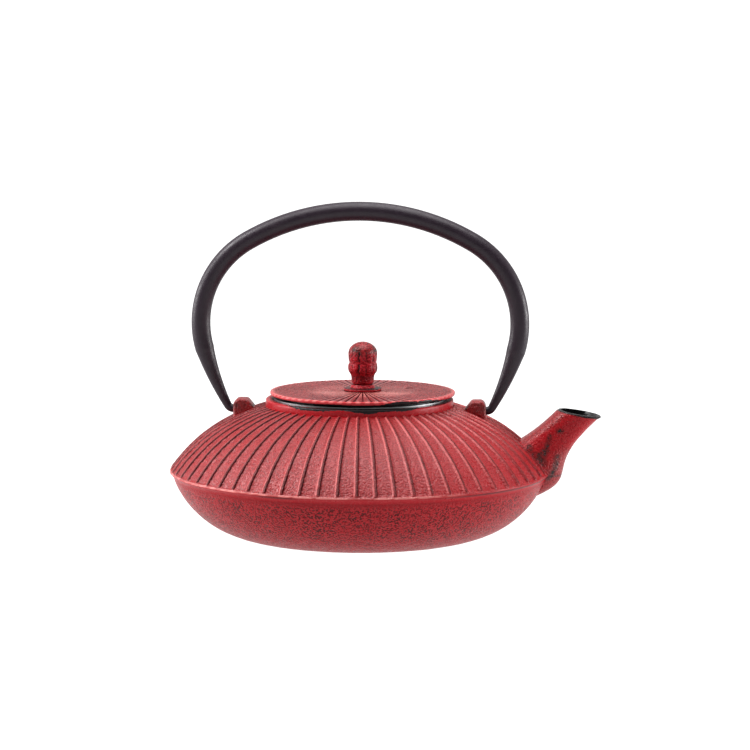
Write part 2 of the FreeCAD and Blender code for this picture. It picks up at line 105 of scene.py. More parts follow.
def sample(stops, run, values):
    """Rows of values (n, 2), known at distances run, read off at the stops."""
    return np.stack([np.interp(stops, run, column) for column in values.T], axis=1)


def grid_faces(rows, columns, close_rows=False):
    """Quads over a grid of points that is closed round its columns."""
    last = rows if close_rows else rows - 1
    row, column = np.meshgrid(np.arange(last), np.arange(columns), indexing="ij")
    above, beside = (row + 1) % rows, (column + 1) % columns
    corners = (row * columns + column, row * columns + beside,
               above * columns + beside, above * columns + column)
    return np.stack(corners, axis=-1).reshape(-1, 4).tolist()


def fan(ring_start, columns, pole, outward):
    """Triangles from a ring of the grid to a single pole point."""
    pairs = [(ring_start + column, ring_start + (column + 1) % columns) for column in range(columns)]
    return [(*pair, pole) if outward else (*pair[::-1], pole) for pair in pairs]


def place_object(name, data):
    made = bpy.data.objects.new(name, data)
    bpy.context.scene.collection.objects.link(made)
    return made


def make_object(name, points, faces):
    """Object from points in millimetres."""
    mesh = bpy.data.meshes.new(name)
    mesh.from_pydata((np.asarray(points) * MM).tolist(), [], faces)
    mesh.validate()
    return place_object(name, mesh)


def turned_object(name, radii, heights, angles, close_rows=False):
    """Closed object from grids (rows, columns) of radius, height and angle.

    Without close_rows the first and last rows are closed by a pole on the axis.
    """
    rows, columns = radii.shape
    points = np.stack([radii * np.cos(angles), radii * np.sin(angles), heights], axis=-1)
    points = points.reshape(-1, 3)
    faces = grid_faces(rows, columns, close_rows)
    if not close_rows:
        poles = np.array([[0, 0, heights[0].mean()], [0, 0, heights[-1].mean()]])
        faces += fan(0, columns, len(points), False)
        faces += fan((rows - 1) * columns, columns, len(points) + 1, True)
        points = np.vstack([points, poles])
    return make_object(name, points, faces)


def turned_grid(outline, columns):
    """Radii, heights and angles of an outline of (radius, height), turned about the axis."""
    radii, heights = (np.repeat(column[:, None], columns, axis=1) for column in outline.T)
    angles = np.linspace(0, 2 * math.pi, columns, endpoint=False)
    return radii, heights, np.tile(angles, (len(outline), 1))


def plain_turned(name, outline, columns, close_rows=False):
    return turned_object(name, *turned_grid(np.array(outline, float), columns), close_rows)


def combine(target, operation, others):
    """Boolean of closed meshes; the others are used up."""
    for other in others:
        cut = target.modifiers.new("combine", "BOOLEAN")
        cut.operation = operation
        cut.solver = "MANIFOLD"
        cut.material_mode = "TRANSFER"
        cut.object = other
    graph = bpy.context.evaluated_depsgraph_get()
    mesh = bpy.data.meshes.new_from_object(target.evaluated_get(graph))
    target.modifiers.clear()
    target.data = mesh
    for other in others:
        bpy.data.objects.remove(other)


def read_vectors(items, name):
    found = np.empty(len(items) * 3, np.float32)
    items.foreach_get(name, found)
    return found.reshape(-1, 3).astype(float)


def points_of(piece):
    return read_vectors(piece.data.vertices, "co") / MM


def normals_of(piece):
    return read_vectors(piece.data.vertex_normals, "vector")


def move_points(piece, points):
    piece.data.vertices.foreach_set("co", (points * MM).astype(np.float32).ravel())
    piece.data.update()


def paint(piece, **layers):
    """Stores named numbers on the points, for the material to read."""
    for name, values in layers.items():
        layer = piece.data.attributes.new(name, "FLOAT", "POINT")
        values = np.clip(values, 0, 1) * np.ones(len(layer.data))
        layer.data.foreach_set("value", values.astype(np.float32))


# ---- the pot casting

RIB_COUNT = 64
PITCH = 2 * math.pi / RIB_COUNT
RIB_PHASE = math.radians(-87.7)  # bearing of one rib
RIB_HEIGHT = 0.7
RIB_SCALES = (0.76, 1.1)  # size of a rib's section at the collar and at the rim
# Half of a rib's section: distance from its middle and share of its height.
RIB_EDGE, RIB_SIDE, RIB_FOOT = (0.6, 0.93), (0.9, 0.30), (1.25, 0.0)
PANEL_SIDE, PANEL_MIDDLE = -0.04, -0.1  # levels of the panel between two ribs
RIB_LEVELS = np.array([RIB_FOOT[1], RIB_SIDE[1], RIB_EDGE[1], 1.0, RIB_EDGE[1], RIB_SIDE[1],
                       RIB_FOOT[1], PANEL_SIDE, PANEL_MIDDLE, PANEL_SIDE])

# Outside from the foot up, as (radius, height), with the radii of the arcs between.
FOOT = (46.5, 0.0)
BOWL_TOP = (83.9, 27.9)
BOWL_ROUND = 41.2
LIP = [(84.3, 28.3), (84.75, 28.75), (85.0, 29.0), (85.0, 29.3), (84.93, 29.52)]
RIM = (85.0, 29.9)
SHOULDER_MID = (65.3, 49.1)
SHOULDER_ROUND_LOW, SHOULDER_ROUND_HIGH = 70.2, 79.8
COLLAR_FOOT = (42.0, 59.0)
COLLAR = [(42.0, 59.45), (42.0, 60.2), (42.0, 61.0), (41.9, 61.45), (41.6, 61.66), (41.2, 61.7)]
COLLAR_TOP = COLLAR[-1][1]
BAND_FOOT = 26.1  # lower edge of the smooth band under the rim
BAND_DEPTH = 0.16

# Inside: mouth, the ledge that carries the infuser, throat and hollow.
MOUTH_RADIUS, MOUTH_BEVEL = 38.9, 0.3
LEDGE = 60.9
THROAT_RADIUS, THROAT_FOOT, THROAT_TOP = 36.0, 56.6, 58.7
ROOF_MID, HOLLOW = (62.6, 45.6), (80.3, 28.6)
HOLLOW_ROUND, FLOOR = 38.5, (44.5, 4.2)
CUT_TOP = 64.0  # above the mouth, so that the cut goes through

# Bezier points (x, z) up the spout's back and front, half widths on the way up, and how
# square its section is at foot, middle and mouth (2 is an ellipse).
SPOUT_BACK = [(62.0, 38.5), (72.0, 43.0), (80.0, 49.0), (88.7, 57.9)]
SPOUT_FRONT = [(76.0, 17.3), (103.0, 28.0), (79.0, 29.5), (108.0, 54.9)]
SPOUT_HALF_WIDTHS = [15.6, 11.2, 7.2, 9.2]
SPOUT_SQUARE = [2.9, 2.9, 2.25]
SPOUT_FLARE = 0.2  # how much wider the foot is at the back than midway
SPOUT_WALL, SPOUT_LIP_ROUND = 1.5, 0.7
SPOUT_ROWS, SPOUT_COLUMNS = 49, 96

LUG_OUTLINE = [(46.8, 52.0), (56.6, 52.0), (56.6, 59.5), (54.9, 61.4), (50.3, 61.4), (46.8, 57.2)]
LUG_WIDTH, LUG_EDGE = 10.0, 1.9
LUG_MIDDLE, LUG_REACH, LUG_SIDE = 51.7, 5.5, 5.3  # a box round a lug, for its paint
PIVOT_HEIGHT, LUG_BORE, BORE_END, BORE_START = 56.6, 1.86, 49.3, 60.0


def rib_fractions(radius):
    """Column places across one pitch, as shares of it from the rib's middle."""
    share = np.interp(radius, [COLLAR_FOOT[0], RIM[0]], RIB_SCALES) / (PITCH * radius)
    edge, side, foot = (share * half[0] for half in (RIB_EDGE, RIB_SIDE, RIB_FOOT))
    panel = (foot + 0.5) / 2
    return np.array([-foot, -side, -edge, 0, edge, side, foot, panel, 0.5, 1 - panel])


def pot_shell():
    """Outside of the pot: bowl, band, rim ledge, ribbed shoulder and collar."""
    bowl = arc(FOOT, BOWL_TOP, BOWL_ROUND, 60)
    bowl -= outline_normals(bowl) * BAND_DEPTH * smooth_step(
        BAND_FOOT - 0.3, BAND_FOOT + 0.3, bowl[:, 1])[:, None]
    low = arc(RIM, SHOULDER_MID, SHOULDER_ROUND_LOW, 200)
    high = arc(SHOULDER_MID, COLLAR_FOOT, SHOULDER_ROUND_HIGH, 200)[1:]
    shoulder = np.vstack([low, high])
    run = run_along(shoulder)
    length = run[-1]
    # Rows by their distance from the rim along the shoulder, close together at both ends.
    stops = np.concatenate([[0, 0.2, 0.4, 0.65, 0.95, 1.4, 2.1],
                            np.linspace(3.2, length - 1.8, 36),
                            length - np.array([1.1, 0.6, 0.25, 0])])
    surface = sample(stops, run, shoulder)
    facing = sample(stops, run, outline_normals(shoulder))
    # The ribs rise behind a bead on the rim, and run into the collar with a fillet.
    rise = smooth_step(0.1, 0.8, stops)
    bead = 0.6 * smooth_step(0.75, 0.35, stops)
    fillet = 0.35 * smooth_step(length - 1.0, length, stops)

    radii, heights, fractions = [], [], []
    rim_fractions, collar_fractions = rib_fractions(RIM[0]), rib_fractions(COLLAR_FOOT[0])

    def add_plain(radius, height, shares):
        radii.append(np.full(RIB_COUNT * len(shares), radius))
        heights.append(np.full(RIB_COUNT * len(shares), height))
        fractions.append(shares)

    for radius in (12.0, 30.0):
        add_plain(radius, FOOT[1], rim_fractions)
    for radius, height in [*bowl, *LIP]:
        add_plain(radius, height, rim_fractions)
    for place, normal, share, lift, least in zip(surface, facing, rise, fillet, bead):
        levels = np.where(RIB_LEVELS > 0, RIB_LEVELS * share, RIB_LEVELS)
        levels = levels + lift * (RIB_LEVELS < RIB_SIDE[1])
        levels = np.clip(levels, least, 1) if least > 0 else np.minimum(levels, 1)
        depth = np.tile(RIB_HEIGHT * (1 - levels), RIB_COUNT)
        radii.append(place[0] - normal[0] * depth)
        heights.append(place[1] - normal[1] * depth)
        fractions.append(rib_fractions(place[0]))
    for radius, height in [*COLLAR, (37.0, COLLAR_TOP), (20.0, COLLAR_TOP)]:
        add_plain(radius, height, collar_fractions)
    ribs = np.arange(RIB_COUNT)[:, None]
    angles = np.array([((ribs + shares) * PITCH).ravel() for shares in fractions]) + RIB_PHASE
    return turned_object("pot_casting", np.array(radii), np.array(heights), angles)


def pot_hollow():
    """Closed solid that is cut out of the pot: hollow, throat, ledge and mouth."""
    bowl = arc(FLOOR, HOLLOW, HOLLOW_ROUND, 22)
    low = arc(HOLLOW, ROOF_MID, SHOULDER_ROUND_LOW, 12)[1:]
    high = arc(ROOF_MID, (THROAT_RADIUS, THROAT_FOOT), SHOULDER_ROUND_HIGH, 12)[1:]
    wide = MOUTH_RADIUS + MOUTH_BEVEL
    mouth = [(THROAT_RADIUS, THROAT_TOP), (THROAT_RADIUS, LEDGE), (MOUTH_RADIUS, LEDGE),
             (MOUTH_RADIUS, 61.35), (wide, 61.75), (wide, CUT_TOP), (10.0, CUT_TOP)]
    floor = [(15.0, FLOOR[1]), (30.0, FLOOR[1])]
    return plain_turned("pot_hollow", np.vstack([floor, bowl, low, high, mouth]), 192)


def bezier(points, share):
    """Place at share of a cubic curve with four control points."""
    rest = 1 - share
    weights = (rest ** 3, 3 * rest ** 2 * share, 3 * rest * share ** 2, share ** 3)
    return sum(weight * np.array(point) for weight, point in zip(weights, points))


def spout_ring(share, inset, angles):
    """Points of a section across the spout: a squarish ring with a keeled front."""
    back, front = bezier(SPOUT_BACK, share), bezier(SPOUT_FRONT, share)
    half_width = bezier(SPOUT_HALF_WIDTHS, share) - inset
    along = back - front
    half_length = np.hypot(*along) / 2 - inset
    along /= np.hypot(*along)
    power = 2 / np.interp(share, [0, 0.5, 1], SPOUT_SQUARE)
    cosine, sine = np.cos(angles), np.sin(angles)
    run = np.sign(cosine) * np.abs(cosine) ** power
    side = np.sign(sine) * np.abs(sine) ** power * (1 + SPOUT_FLARE * (1 - share) * run)
    middle = (back + front) / 2
    across = middle[:, None] + along[:, None] * half_length * run
    return np.stack([across[0], half_width * side, across[1]], axis=1)


def spout_shape(name, inset, reach):
    """Closed spout, inset from its skin; a bore's reach carries it past the mouth."""
    angles = np.linspace(0, 2 * math.pi, SPOUT_COLUMNS, endpoint=False)
    rings = [spout_ring(share, inset, angles) for share in np.linspace(0, 1, SPOUT_ROWS)]
    lip_run = np.array(SPOUT_FRONT[-1]) - np.array(SPOUT_BACK[-1])
    lip_normal = np.array([-lip_run[1], 0, lip_run[0]]) / np.hypot(*lip_run)
    if reach:
        rings.append(spout_ring(1, inset, angles) + lip_normal * reach)
    else:
        rings[-1] = rings[-1] - lip_normal * SPOUT_LIP_ROUND
        for turn in np.radians([30, 60, 90]):
            drop = SPOUT_LIP_ROUND * (1 - math.sin(turn))
            shrink = SPOUT_LIP_ROUND * (1 - math.cos(turn))
            rings.append(spout_ring(1, inset + shrink, angles) - lip_normal * drop)
    points = np.array(rings).reshape(-1, 3)
    faces = [face[::-1] for face in grid_faces(len(rings), SPOUT_COLUMNS)]
    poles = np.array([rings[0].mean(axis=0), rings[-1].mean(axis=0)])
    faces += fan(0, SPOUT_COLUMNS, len(points), True)
    faces += fan((len(rings) - 1) * SPOUT_COLUMNS, SPOUT_COLUMNS, len(points) + 1, False)
    return make_object(name, np.vstack([points, poles]), faces)


def lug_shape(side):
    """Rounded block that carries one end of the handle; side is 1 at the spout."""
    shape = bmesh.new()
    half = LUG_WIDTH / 2
    rings = [[shape.verts.new((side * x * MM, y * MM, z * MM)) for x, z in LUG_OUTLINE]
             for y in (-half, half)]
    shape.faces.new(rings[0])
    shape.faces.new(rings[1][::-1])
    for index in range(len(LUG_OUTLINE)):
        beside = (index + 1) % len(LUG_OUTLINE)
        shape.faces.new([rings[0][beside], rings[0][index], rings[1][index], rings[1][beside]])
    bmesh.ops.recalc_face_normals(shape, faces=shape.faces)
    buried = LUG_OUTLINE[0][1] + 0.5
    above = [edge for edge in shape.edges
             if (edge.verts[0].co.z + edge.verts[1].co.z) / 2 / MM > buried]
    bmesh.ops.bevel(shape, geom=above, offset=LUG_EDGE * MM, offset_type="OFFSET", segments=5,
                    profile=0.5, affect="EDGES", clamp_overlap=True)
    mesh = bpy.data.meshes.new("lug")
    shape.to_mesh(mesh)
    shape.free()
    return place_object("lug", mesh)


def rod(name, radius, start, end, columns):
    """Closed cylinder between two points."""
    start, end = np.array(start, float), np.array(end, float)
    axis = (end - start) / np.linalg.norm(end - start)
    first = np.cross(axis, [0, 0, 1] if abs(axis[2]) < 0.9 else [1, 0, 0])
    first /= np.linalg.norm(first)
    second = np.cross(axis, first)
    angles = np.linspace(0, 2 * math.pi, columns, endpoint=False)
    ring = radius * (np.cos(angles)[:, None] * first + np.sin(angles)[:, None] * second)
    points = np.vstack([start + ring, end + ring, start, end])
    faces = grid_faces(2, columns) + fan(0, columns, 2 * columns, False)
    faces += fan(columns, columns, 2 * columns + 1, True)
    return make_object(name, points, faces)


def pot_casting(outside, inside):
    """The whole pot in two finishes: outside is the paint, inside the black enamel."""
    pot = pot_shell()
    solids = [spout_shape("spout", 0, 0), lug_shape(1), lug_shape(-1)]
    bores = [rod("bore", LUG_BORE, (side * BORE_END, 0, PIVOT_HEIGHT),
                 (side * BORE_START, 0, PIVOT_HEIGHT), 32) for side in (-1, 1)]
    spaces = [pot_hollow(), spout_shape("spout_bore", SPOUT_WALL, 1.0), *bores]
    for pieces, material in (([pot, *solids], outside), (spaces, inside)):
        for piece in pieces:
            piece.data.materials.append(material)
    combine(pot, "UNION", solids)
    combine(pot, "DIFFERENCE", spaces)
    return pot


# ---- materials

class Graph:
    """Nodes of a material or world.  A value is a number, a colour or another output."""

    def __init__(self, tree):
        self.tree = tree

    def put(self, socket, value):
        if isinstance(value, bpy.types.NodeSocket):
            self.tree.links.new(value, socket)
        elif isinstance(value, tuple):
            socket.default_value = (*value, 1.0)
        else:
            socket.default_value = value

    def node(self, kind, *values):
        """New node, with values for the first of its inputs."""
        made = self.tree.nodes.new("ShaderNode" + kind)
        for socket, value in zip(made.inputs, values):
            self.put(socket, value)
        return made

    def math(self, operation, first, second=0.0):
        node = self.node("Math", first, second)
        node.operation = operation
        return node.outputs[0]

    def times(self, first, *others):
        for other in others:
            first = self.math("MULTIPLY", first, other)
        return first

    def span(self, value, low, high, to_low=0.0, to_high=1.0):
        """From to_low to to_high with soft ends, while value goes from low to high."""
        node = self.node("MapRange", value, low, high, to_low, to_high)
        node.interpolation_type = "SMOOTHSTEP"
        return node.outputs[0]

    def between(self, value, start, full, fading, end):
        return self.times(self.span(value, start, full), self.span(value, end, fading))

    def ramp(self, value, low, high, to_low, to_high):
        """Like span, but along a straight line that goes on past its ends."""
        share = self.math("DIVIDE", self.math("SUBTRACT", value, low), high - low)
        return self.math("ADD", self.times(share, to_high - to_low), to_low)

    def mix(self, share, first, second):
        """Mix of two colours; sockets 6, 7 and 2 are the node's colour ones."""
        node = self.node("Mix", share)
        node.data_type = "RGBA"
        self.put(node.inputs[6], first)
        self.put(node.inputs[7], second)
        return node.outputs[2]

    def camera_ray(self):
        """1 for what the camera sees directly, otherwise 0."""
        return self.node("LightPath").outputs["Is Camera Ray"]


class Shader(Graph):
    """One node material. Lengths given to it are millimetres."""

    def __init__(self, name, metallic=0.0, specular=0.5):
        self.material = bpy.data.materials.new(name)
        self.material.use_nodes = True
        super().__init__(self.material.node_tree)
        self.surface = self.tree.nodes["Principled BSDF"]
        self.set("Metallic", metallic)
        self.set("Specular IOR Level", specular)
        self.place = self.node("TexCoord").outputs["Object"]

    def set(self, name, value):
        self.put(self.surface.inputs[name], value)

    def noise(self, pitch, detail=2.0, stretch=(1, 1, 1), distortion=0.0):
        """Noise from 0 to 1 with lumps about pitch wide; stretch widens them along an axis."""
        spread = self.node("Mapping", self.place)
        spread.inputs["Scale"].default_value = [1 / share for share in stretch]
        node = self.node("TexNoise", spread.outputs[0])
        node.inputs["Scale"].default_value = 1 / (pitch * MM)
        node.inputs["Detail"].default_value = detail
        node.inputs["Distortion"].default_value = distortion
        return node.outputs["Fac"]

    def painted(self, name):
        """Number that paint() stored on the mesh."""
        node = self.node("Attribute")
        node.attribute_name = name
        return node.outputs["Fac"]

    def spokes(self, shift, phase):
        """Signed share of a pitch from the nearest of the radial lines, and the radius."""
        x, y = self.node("SeparateXYZ", self.place).outputs[:2]
        across = self.math("SUBTRACT", self.math("DIVIDE", x, MM), shift)
        back = self.math("DIVIDE", y, MM)
        square = self.math("ADD", self.times(across, across), self.times(back, back))
        turn = self.math("SUBTRACT", self.math("ARCTAN2", back, across), phase)
        turn = self.math("DIVIDE", turn, PITCH)
        share = self.math("SUBTRACT", turn, self.math("ROUND", turn))
        return share, self.math("SQRT", square)

    def bump(self, height, depth):
        """Surface relief, on top of what the mesh has."""
        node = self.node("Bump")
        node.inputs["Distance"].default_value = depth * MM
        self.put(node.inputs["Height"], height)
        self.set("Normal", node.outputs[0])


def rib_marks(shader):
    """Shares of worn paint, painted shade and painted highlight on the pot's ribs.

    The top is worn and the right edge has painted shade; the left edge has a painted highlight
    where highlit is high and painted shade where it is low.  Offsets are millimetres from the middle of a
    rib.
    """
    share, radius = shader.spokes(0.0, RIB_PHASE)
    size = shader.ramp(radius, COLLAR_FOOT[0], RIM[0], *RIB_SCALES)
    offset = shader.math("DIVIDE", shader.times(share, PITCH, radius), size)
    wander = shader.span(shader.noise(1.6, 2.0), 0.2, 0.8, -0.14, 0.14)
    offset = shader.math("ADD", offset, wander)
    top = shader.between(offset, -0.4, -0.15, 0.5, 0.7)
    # Right slope: painted shade.  Left slope: a painted highlight where highlit is high, painted shade
    # where it is low.
    right = shader.between(offset, 0.42, 0.62, 0.8, 1.0)
    left = shader.between(offset, -1.15, -0.9, -0.5, -0.3)
    unlit = shader.times(shader.math("SUBTRACT", 1.0, shader.painted("brushed")), 0.6)
    dark = shader.math("MAXIMUM", right, shader.times(left, unlit))
    return top, dark, left


def lid_marks(shader):
    """The same on the lid: painted shade in the grooves, used for both the worn and the dark share, and a
    painted highlight on the ribs between.
    """
    share, radius = shader.spokes(LID_SHIFT, LID_PHASE)
    away = shader.math("ABSOLUTE", share)
    half_width = shader.ramp(radius, 9, 40, 0.22, 0.13)  # from the plate to the edge
    # Painted shade in the grooves.
    dark = shader.span(shader.math("DIVIDE", away, half_width), 1.0, 0.55)
    # Painted highlight on the ribs.
    bright = shader.span(away, 0.16, 0.28)
    return dark, dark, bright


# Paint colours, in order: a painted highlight on the pebbles' tops, painted shade in their hollows, a
# painted highlight on edges; worn paint on rib tops, also used as painted shade in the lid's grooves;
# painted shade beside the ribs and in the grooves; painted shade in crevices; thin brown wear, pits and
# bare iron.
PEBBLE_HIGHLIGHT_RED, PEBBLE_SHADE_RED, EDGE_HIGHLIGHT_RED = (0.44, 0.050, 0.052), (0.12, 0.006, 0.008), (0.80, 0.29, 0.27)
WORN_AND_GROOVE_SHADE_RED, SHADE_MARK_RED, CREVICE_SHADE_RED = (0.13, 0.030, 0.030), (0.040, 0.007, 0.009), (0.045, 0.004, 0.005)
THIN_BROWN, PIT_BROWN, BARE_BLACK = (0.10, 0.020, 0.019), (0.060, 0.010, 0.009), (0.020, 0.016, 0.017)


def red_coat(shader, pebbles, dusty, fresh, shaded_colours):
    """Colour of unworn paint: patchy, with a painted highlight on the pebbles' tops, painted shade in
    their hollows and on upper faces, and a painted highlight on edges.
    """
    colour = shader.mix(shader.noise(7.0), *fresh)
    # Darker where dusty is set: painted shade.
    colour = shader.mix(dusty, colour, shader.mix(shader.noise(7.0), *shaded_colours))
    # Painted highlight on the tops of the pebbles.
    colour = shader.mix(shader.span(pebbles, 0.48, 0.62, 0.0, 0.45), colour, PEBBLE_HIGHLIGHT_RED)
    # Painted shade in the hollows between the pebbles.
    pebble_shade = shader.times(shader.span(pebbles, 0.46, 0.36, 0.0, 0.36), dusty)
    colour = shader.mix(pebble_shade, colour, PEBBLE_SHADE_RED)
    # Painted highlight on edges.
    return shader.mix(shader.times(shader.painted("edge"), 0.85), colour, EDGE_HIGHLIGHT_RED)


def marked(shader, colour, gloss, marks, highlight):
    """Colour and gloss with the marks on ribs or grooves added, broken up into patches: worn rib tops,
    painted shade and painted highlights.
    """
    top, dark, bright = marks(shader)
    ribbed = shader.painted("ribbed")
    patchy = shader.span(shader.noise(3.0, 3.0), 0.3, 0.6, 0.65, 1.0)
    # Painted highlight.
    bright = shader.times(bright, ribbed, patchy, shader.painted("brushed"))
    colour = shader.mix(shader.times(bright, 0.85), colour, highlight)
    # Worn rib tops; on the lid this share is painted shade in the grooves.
    top = shader.times(top, ribbed, patchy)
    colour = shader.mix(shader.times(top, 0.85), colour, WORN_AND_GROOVE_SHADE_RED)
    # Painted shade.
    dark = shader.times(dark, ribbed, 0.92)
    colour = shader.mix(dark, colour, SHADE_MARK_RED)
    dull = shader.math("MAXIMUM", dark, shader.times(top, 0.5))
    return colour, shader.times(gloss, shader.math("SUBTRACT", 1.0, dull))


def worn(shader, colour):
    """Colour worn to brown or black, with painted shade in crevices, and the shares of pits and of bare
    iron.
    """
    thin = shader.span(shader.noise(2.2, 3.0), 0.25, 0.7, 0.45, 1.0)
    colour = shader.mix(shader.times(shader.painted("thin"), thin), colour, THIN_BROWN)
    dots = shader.span(shader.noise(0.8, 0.5, distortion=0.2), 0.46, 0.41)
    patch = shader.span(shader.noise(9.0), 0.3, 0.65, 0.55, 1.0)
    pits = shader.times(shader.painted("pits"), dots, patch)
    colour = shader.mix(shader.times(pits, 0.85), colour, PIT_BROWN)
    # Painted shade in crevices.
    colour = shader.mix(shader.times(shader.painted("crevice"), 0.85), colour, CREVICE_SHADE_RED)
    ragged = shader.times(shader.math("SUBTRACT", shader.noise(1.1, 4.0), 0.5), 1.6)
    bare = shader.span(shader.math("ADD", shader.painted("bare"), ragged), 0.48, 0.60)
    return shader.mix(bare, colour, BARE_BLACK), pits, bare


def red_enamel(name, marks=None, shaded_colours=((0.28, 0.012, 0.015), (0.34, 0.015, 0.020)),
               highlight=(0.60, 0.13, 0.13), fresh=((0.46, 0.010, 0.025), (0.54, 0.014, 0.033))):
    """Red paint, applied with a brush, over black cast iron.

    Painted layers: ribbed (where the marks lie), highlit (how much of the ribs' painted
    highlight shows; where it is low, painted shade), edge (a painted highlight on edges),
    dusty (darker paint as painted shade, with more gloss, on upper faces),
    thin (worn to brown), bare (worn to black), pits, grain and crevice (painted shade in crevices).
    """
    shader = Shader(name)
    dusty, pebbles = shader.painted("dusty"), shader.noise(0.8, 1.5)
    colour = red_coat(shader, pebbles, dusty, fresh, shaded_colours)
    gloss = shader.span(dusty, 0.0, 1.0, 0.26, 0.56)
    if marks:
        colour, gloss = marked(shader, colour, gloss, marks, highlight)
    colour, pits, bare = worn(shader, colour)
    shader.set("Base Color", colour)
    shader.set("Specular IOR Level", gloss)
    shader.set("Roughness", shader.span(shader.noise(1.7, 3.0), 0.3, 0.7, 0.27, 0.40))
    height = shader.times(pebbles, shader.painted("grain"))
    height = shader.math("SUBTRACT", height, shader.times(pits, 0.8))
    shader.bump(shader.math("SUBTRACT", height, shader.times(bare, 0.4)), 0.50)
    return shader.material


def coating(name, colours, roughness, depth, grains):
    """Patchy coat; grains are pitch and detail of its colour, roughness and relief."""
    shader = Shader(name)
    tint, sheen, relief = (shader.noise(*grain) for grain in grains)
    shader.set("Base Color", shader.mix(tint, *colours))
    shader.set("Roughness", shader.span(sheen, 0.3, 0.7, *roughness))
    shader.bump(relief, depth)
    return shader.material


def steel(name, colour, dark, roughness, pitch, depth, stretch=(1, 1, 1)):
    """Bare steel with fine marks along the stretched axis."""
    shader = Shader(name, metallic=1.0)
    marks = shader.noise(pitch, 4.0, stretch)
    shader.set("Base Color", shader.mix(marks, dark, colour))
    shader.set("Roughness", shader.span(marks, 0.3, 0.7, roughness, roughness + 0.14))
    shader.bump(marks, depth)
    return shader.material


# ---- stage

VIEW_YAW = math.radians(3.0)  # how far the spout is turned towards the camera
CAMERA_SIDE, CAMERA_BACK, CAMERA_HEIGHT = 6.793, 1396.0, 239.98
CAMERA_PITCH = math.radians(6.855)  # downwards
CAMERA_ROLL = 0.004
LENS, SENSOR = 150.89, 36.0
WORLD_BEHIND, WORLD_FRONT = 0.6, 0.04  # white behind the pot, dim behind the camera
FLOOR_SEEN, FLOOR_SHINE = 0.94, 0.72  # glow of the floor to the eye and on the pot
# Rectangular lights: name, place and target in metres, width, height and power.
SOFTBOXES = [("key", (-0.80, -0.10, 0.85), (0, 0, 0.03), 0.45, 0.45, 7.0),
             ("top", (0.05, -0.05, 1.15), (0, 0, 0.05), 1.1, 1.0, 11.0),
             ("right", (1.0, 0.10, 0.12), (0, 0, 0.03), 0.5, 0.3, 5.0),
             ("left", (-1.0, 0.10, 0.25), (0, 0, 0.03), 0.5, 0.4, 4.0)]


def add_camera():
    lens = bpy.data.cameras.new("camera")
    lens.lens, lens.sensor_width = LENS, SENSOR
    lens.clip_start, lens.clip_end = 0.05, 60.0
    camera = place_object("camera", lens)
    turn = Matrix.Rotation(VIEW_YAW, 4, "Z")
    place = Matrix.Translation(Vector((CAMERA_SIDE, -CAMERA_BACK, CAMERA_HEIGHT)) * MM)
    aim = Matrix.Rotation(math.pi / 2 - CAMERA_PITCH, 4, "X")
    camera.matrix_world = turn @ place @ aim @ Matrix.Rotation(CAMERA_ROLL, 4, "Z")
    bpy.context.scene.camera = camera


def add_softbox(name, place, target, width, height, power):
    light = bpy.data.lights.new(name, "AREA")
    light.shape = "RECTANGLE"
    light.size, light.size_y, light.energy = width, height, power
    box = place_object(name, light)
    place, target = Vector(place), Vector(target)
    box.location = place
    box.rotation_euler = (target - place).to_track_quat("-Z", "Y").to_euler()


def add_world():
    """White surroundings that are dim behind the camera, and plain white to look at."""
    bpy.context.scene.world = world = bpy.data.worlds.new("studio")
    world.use_nodes = True
    graph = Graph(world.node_tree)
    direction = graph.node("TexCoord").outputs["Generated"]
    toward_back = graph.node("SeparateXYZ", direction).outputs["Y"]
    around = graph.span(toward_back, 0.1, -0.8, WORLD_BEHIND, WORLD_FRONT)
    pick = graph.node("Mix", graph.camera_ray())
    graph.put(pick.inputs["A"], around)
    graph.put(pick.inputs["B"], 1.0)
    background = graph.tree.nodes["Background"]
    graph.put(background.inputs["Strength"], pick.outputs[0])
    graph.put(background.inputs["Color"], (1, 1, 1))


def add_floor():
    """Wide white disc, a hair below the foot of the pot; its sizes are metres."""
    size, thickness, gap = 30.0, 0.02, 0.00005
    floor = rod("floor", size / MM, (0, 0, -thickness / MM), (0, 0, -gap / MM), 96)
    shader = Shader("white_sweep", specular=0.0)
    shader.set("Base Color", (0.14, 0.14, 0.14))
    shader.set("Roughness", 1.0)
    shader.set("Emission Color", (1.0, 1.0, 1.0))
    shader.set("Emission Strength", shader.span(shader.camera_ray(), 0, 1, FLOOR_SHINE, FLOOR_SEEN))
    floor.data.materials.append(shader.material)


def add_stage():
    add_camera()
    add_world()
    add_floor()
    for softbox in SOFTBOXES:
        add_softbox(*softbox)
    view = bpy.context.scene.view_settings
    view.view_transform = "Standard"
    view.look = "Medium High Contrast"


# ---- pot: paint and relief

def shell_radius(heights):
    """Radius of the plain outside, without spout and lugs, at given heights."""
    bowl = arc(FOOT, BOWL_TOP, BOWL_ROUND, 40)
    low = arc(RIM, SHOULDER_MID, SHOULDER_ROUND_LOW, 40)
    high = arc(SHOULDER_MID, COLLAR_FOOT, SHOULDER_ROUND_HIGH, 40)
    edge = np.vstack([bowl, LIP, low[1:], high[1:], COLLAR])
    return np.interp(heights, edge[:, 1], edge[:, 0])


# Worn strokes on the spout's flanks: from, to (x, z) and half width.
SPOUT_WEAR = [((85.0, 46.5), (83.4, 40.0), 0.3), ((83.4, 40.0), (80.3, 36.6), 1.2),
              ((80.5, 38.0), (82.2, 34.8), 1.3), ((76.0, 42.0), (76.6, 40.8), 0.6),
              ((88.6, 37.2), (87.6, 32.5), 0.6), ((87.0, 31.0), (85.0, 28.2), 0.5),
              ((82.0, 28.3), (83.5, 28.0), 0.9), ((89.0, 49.1), (90.4, 49.0), 0.35),
              ((78.0, 38.5), (77.4, 36.5), 0.8)]


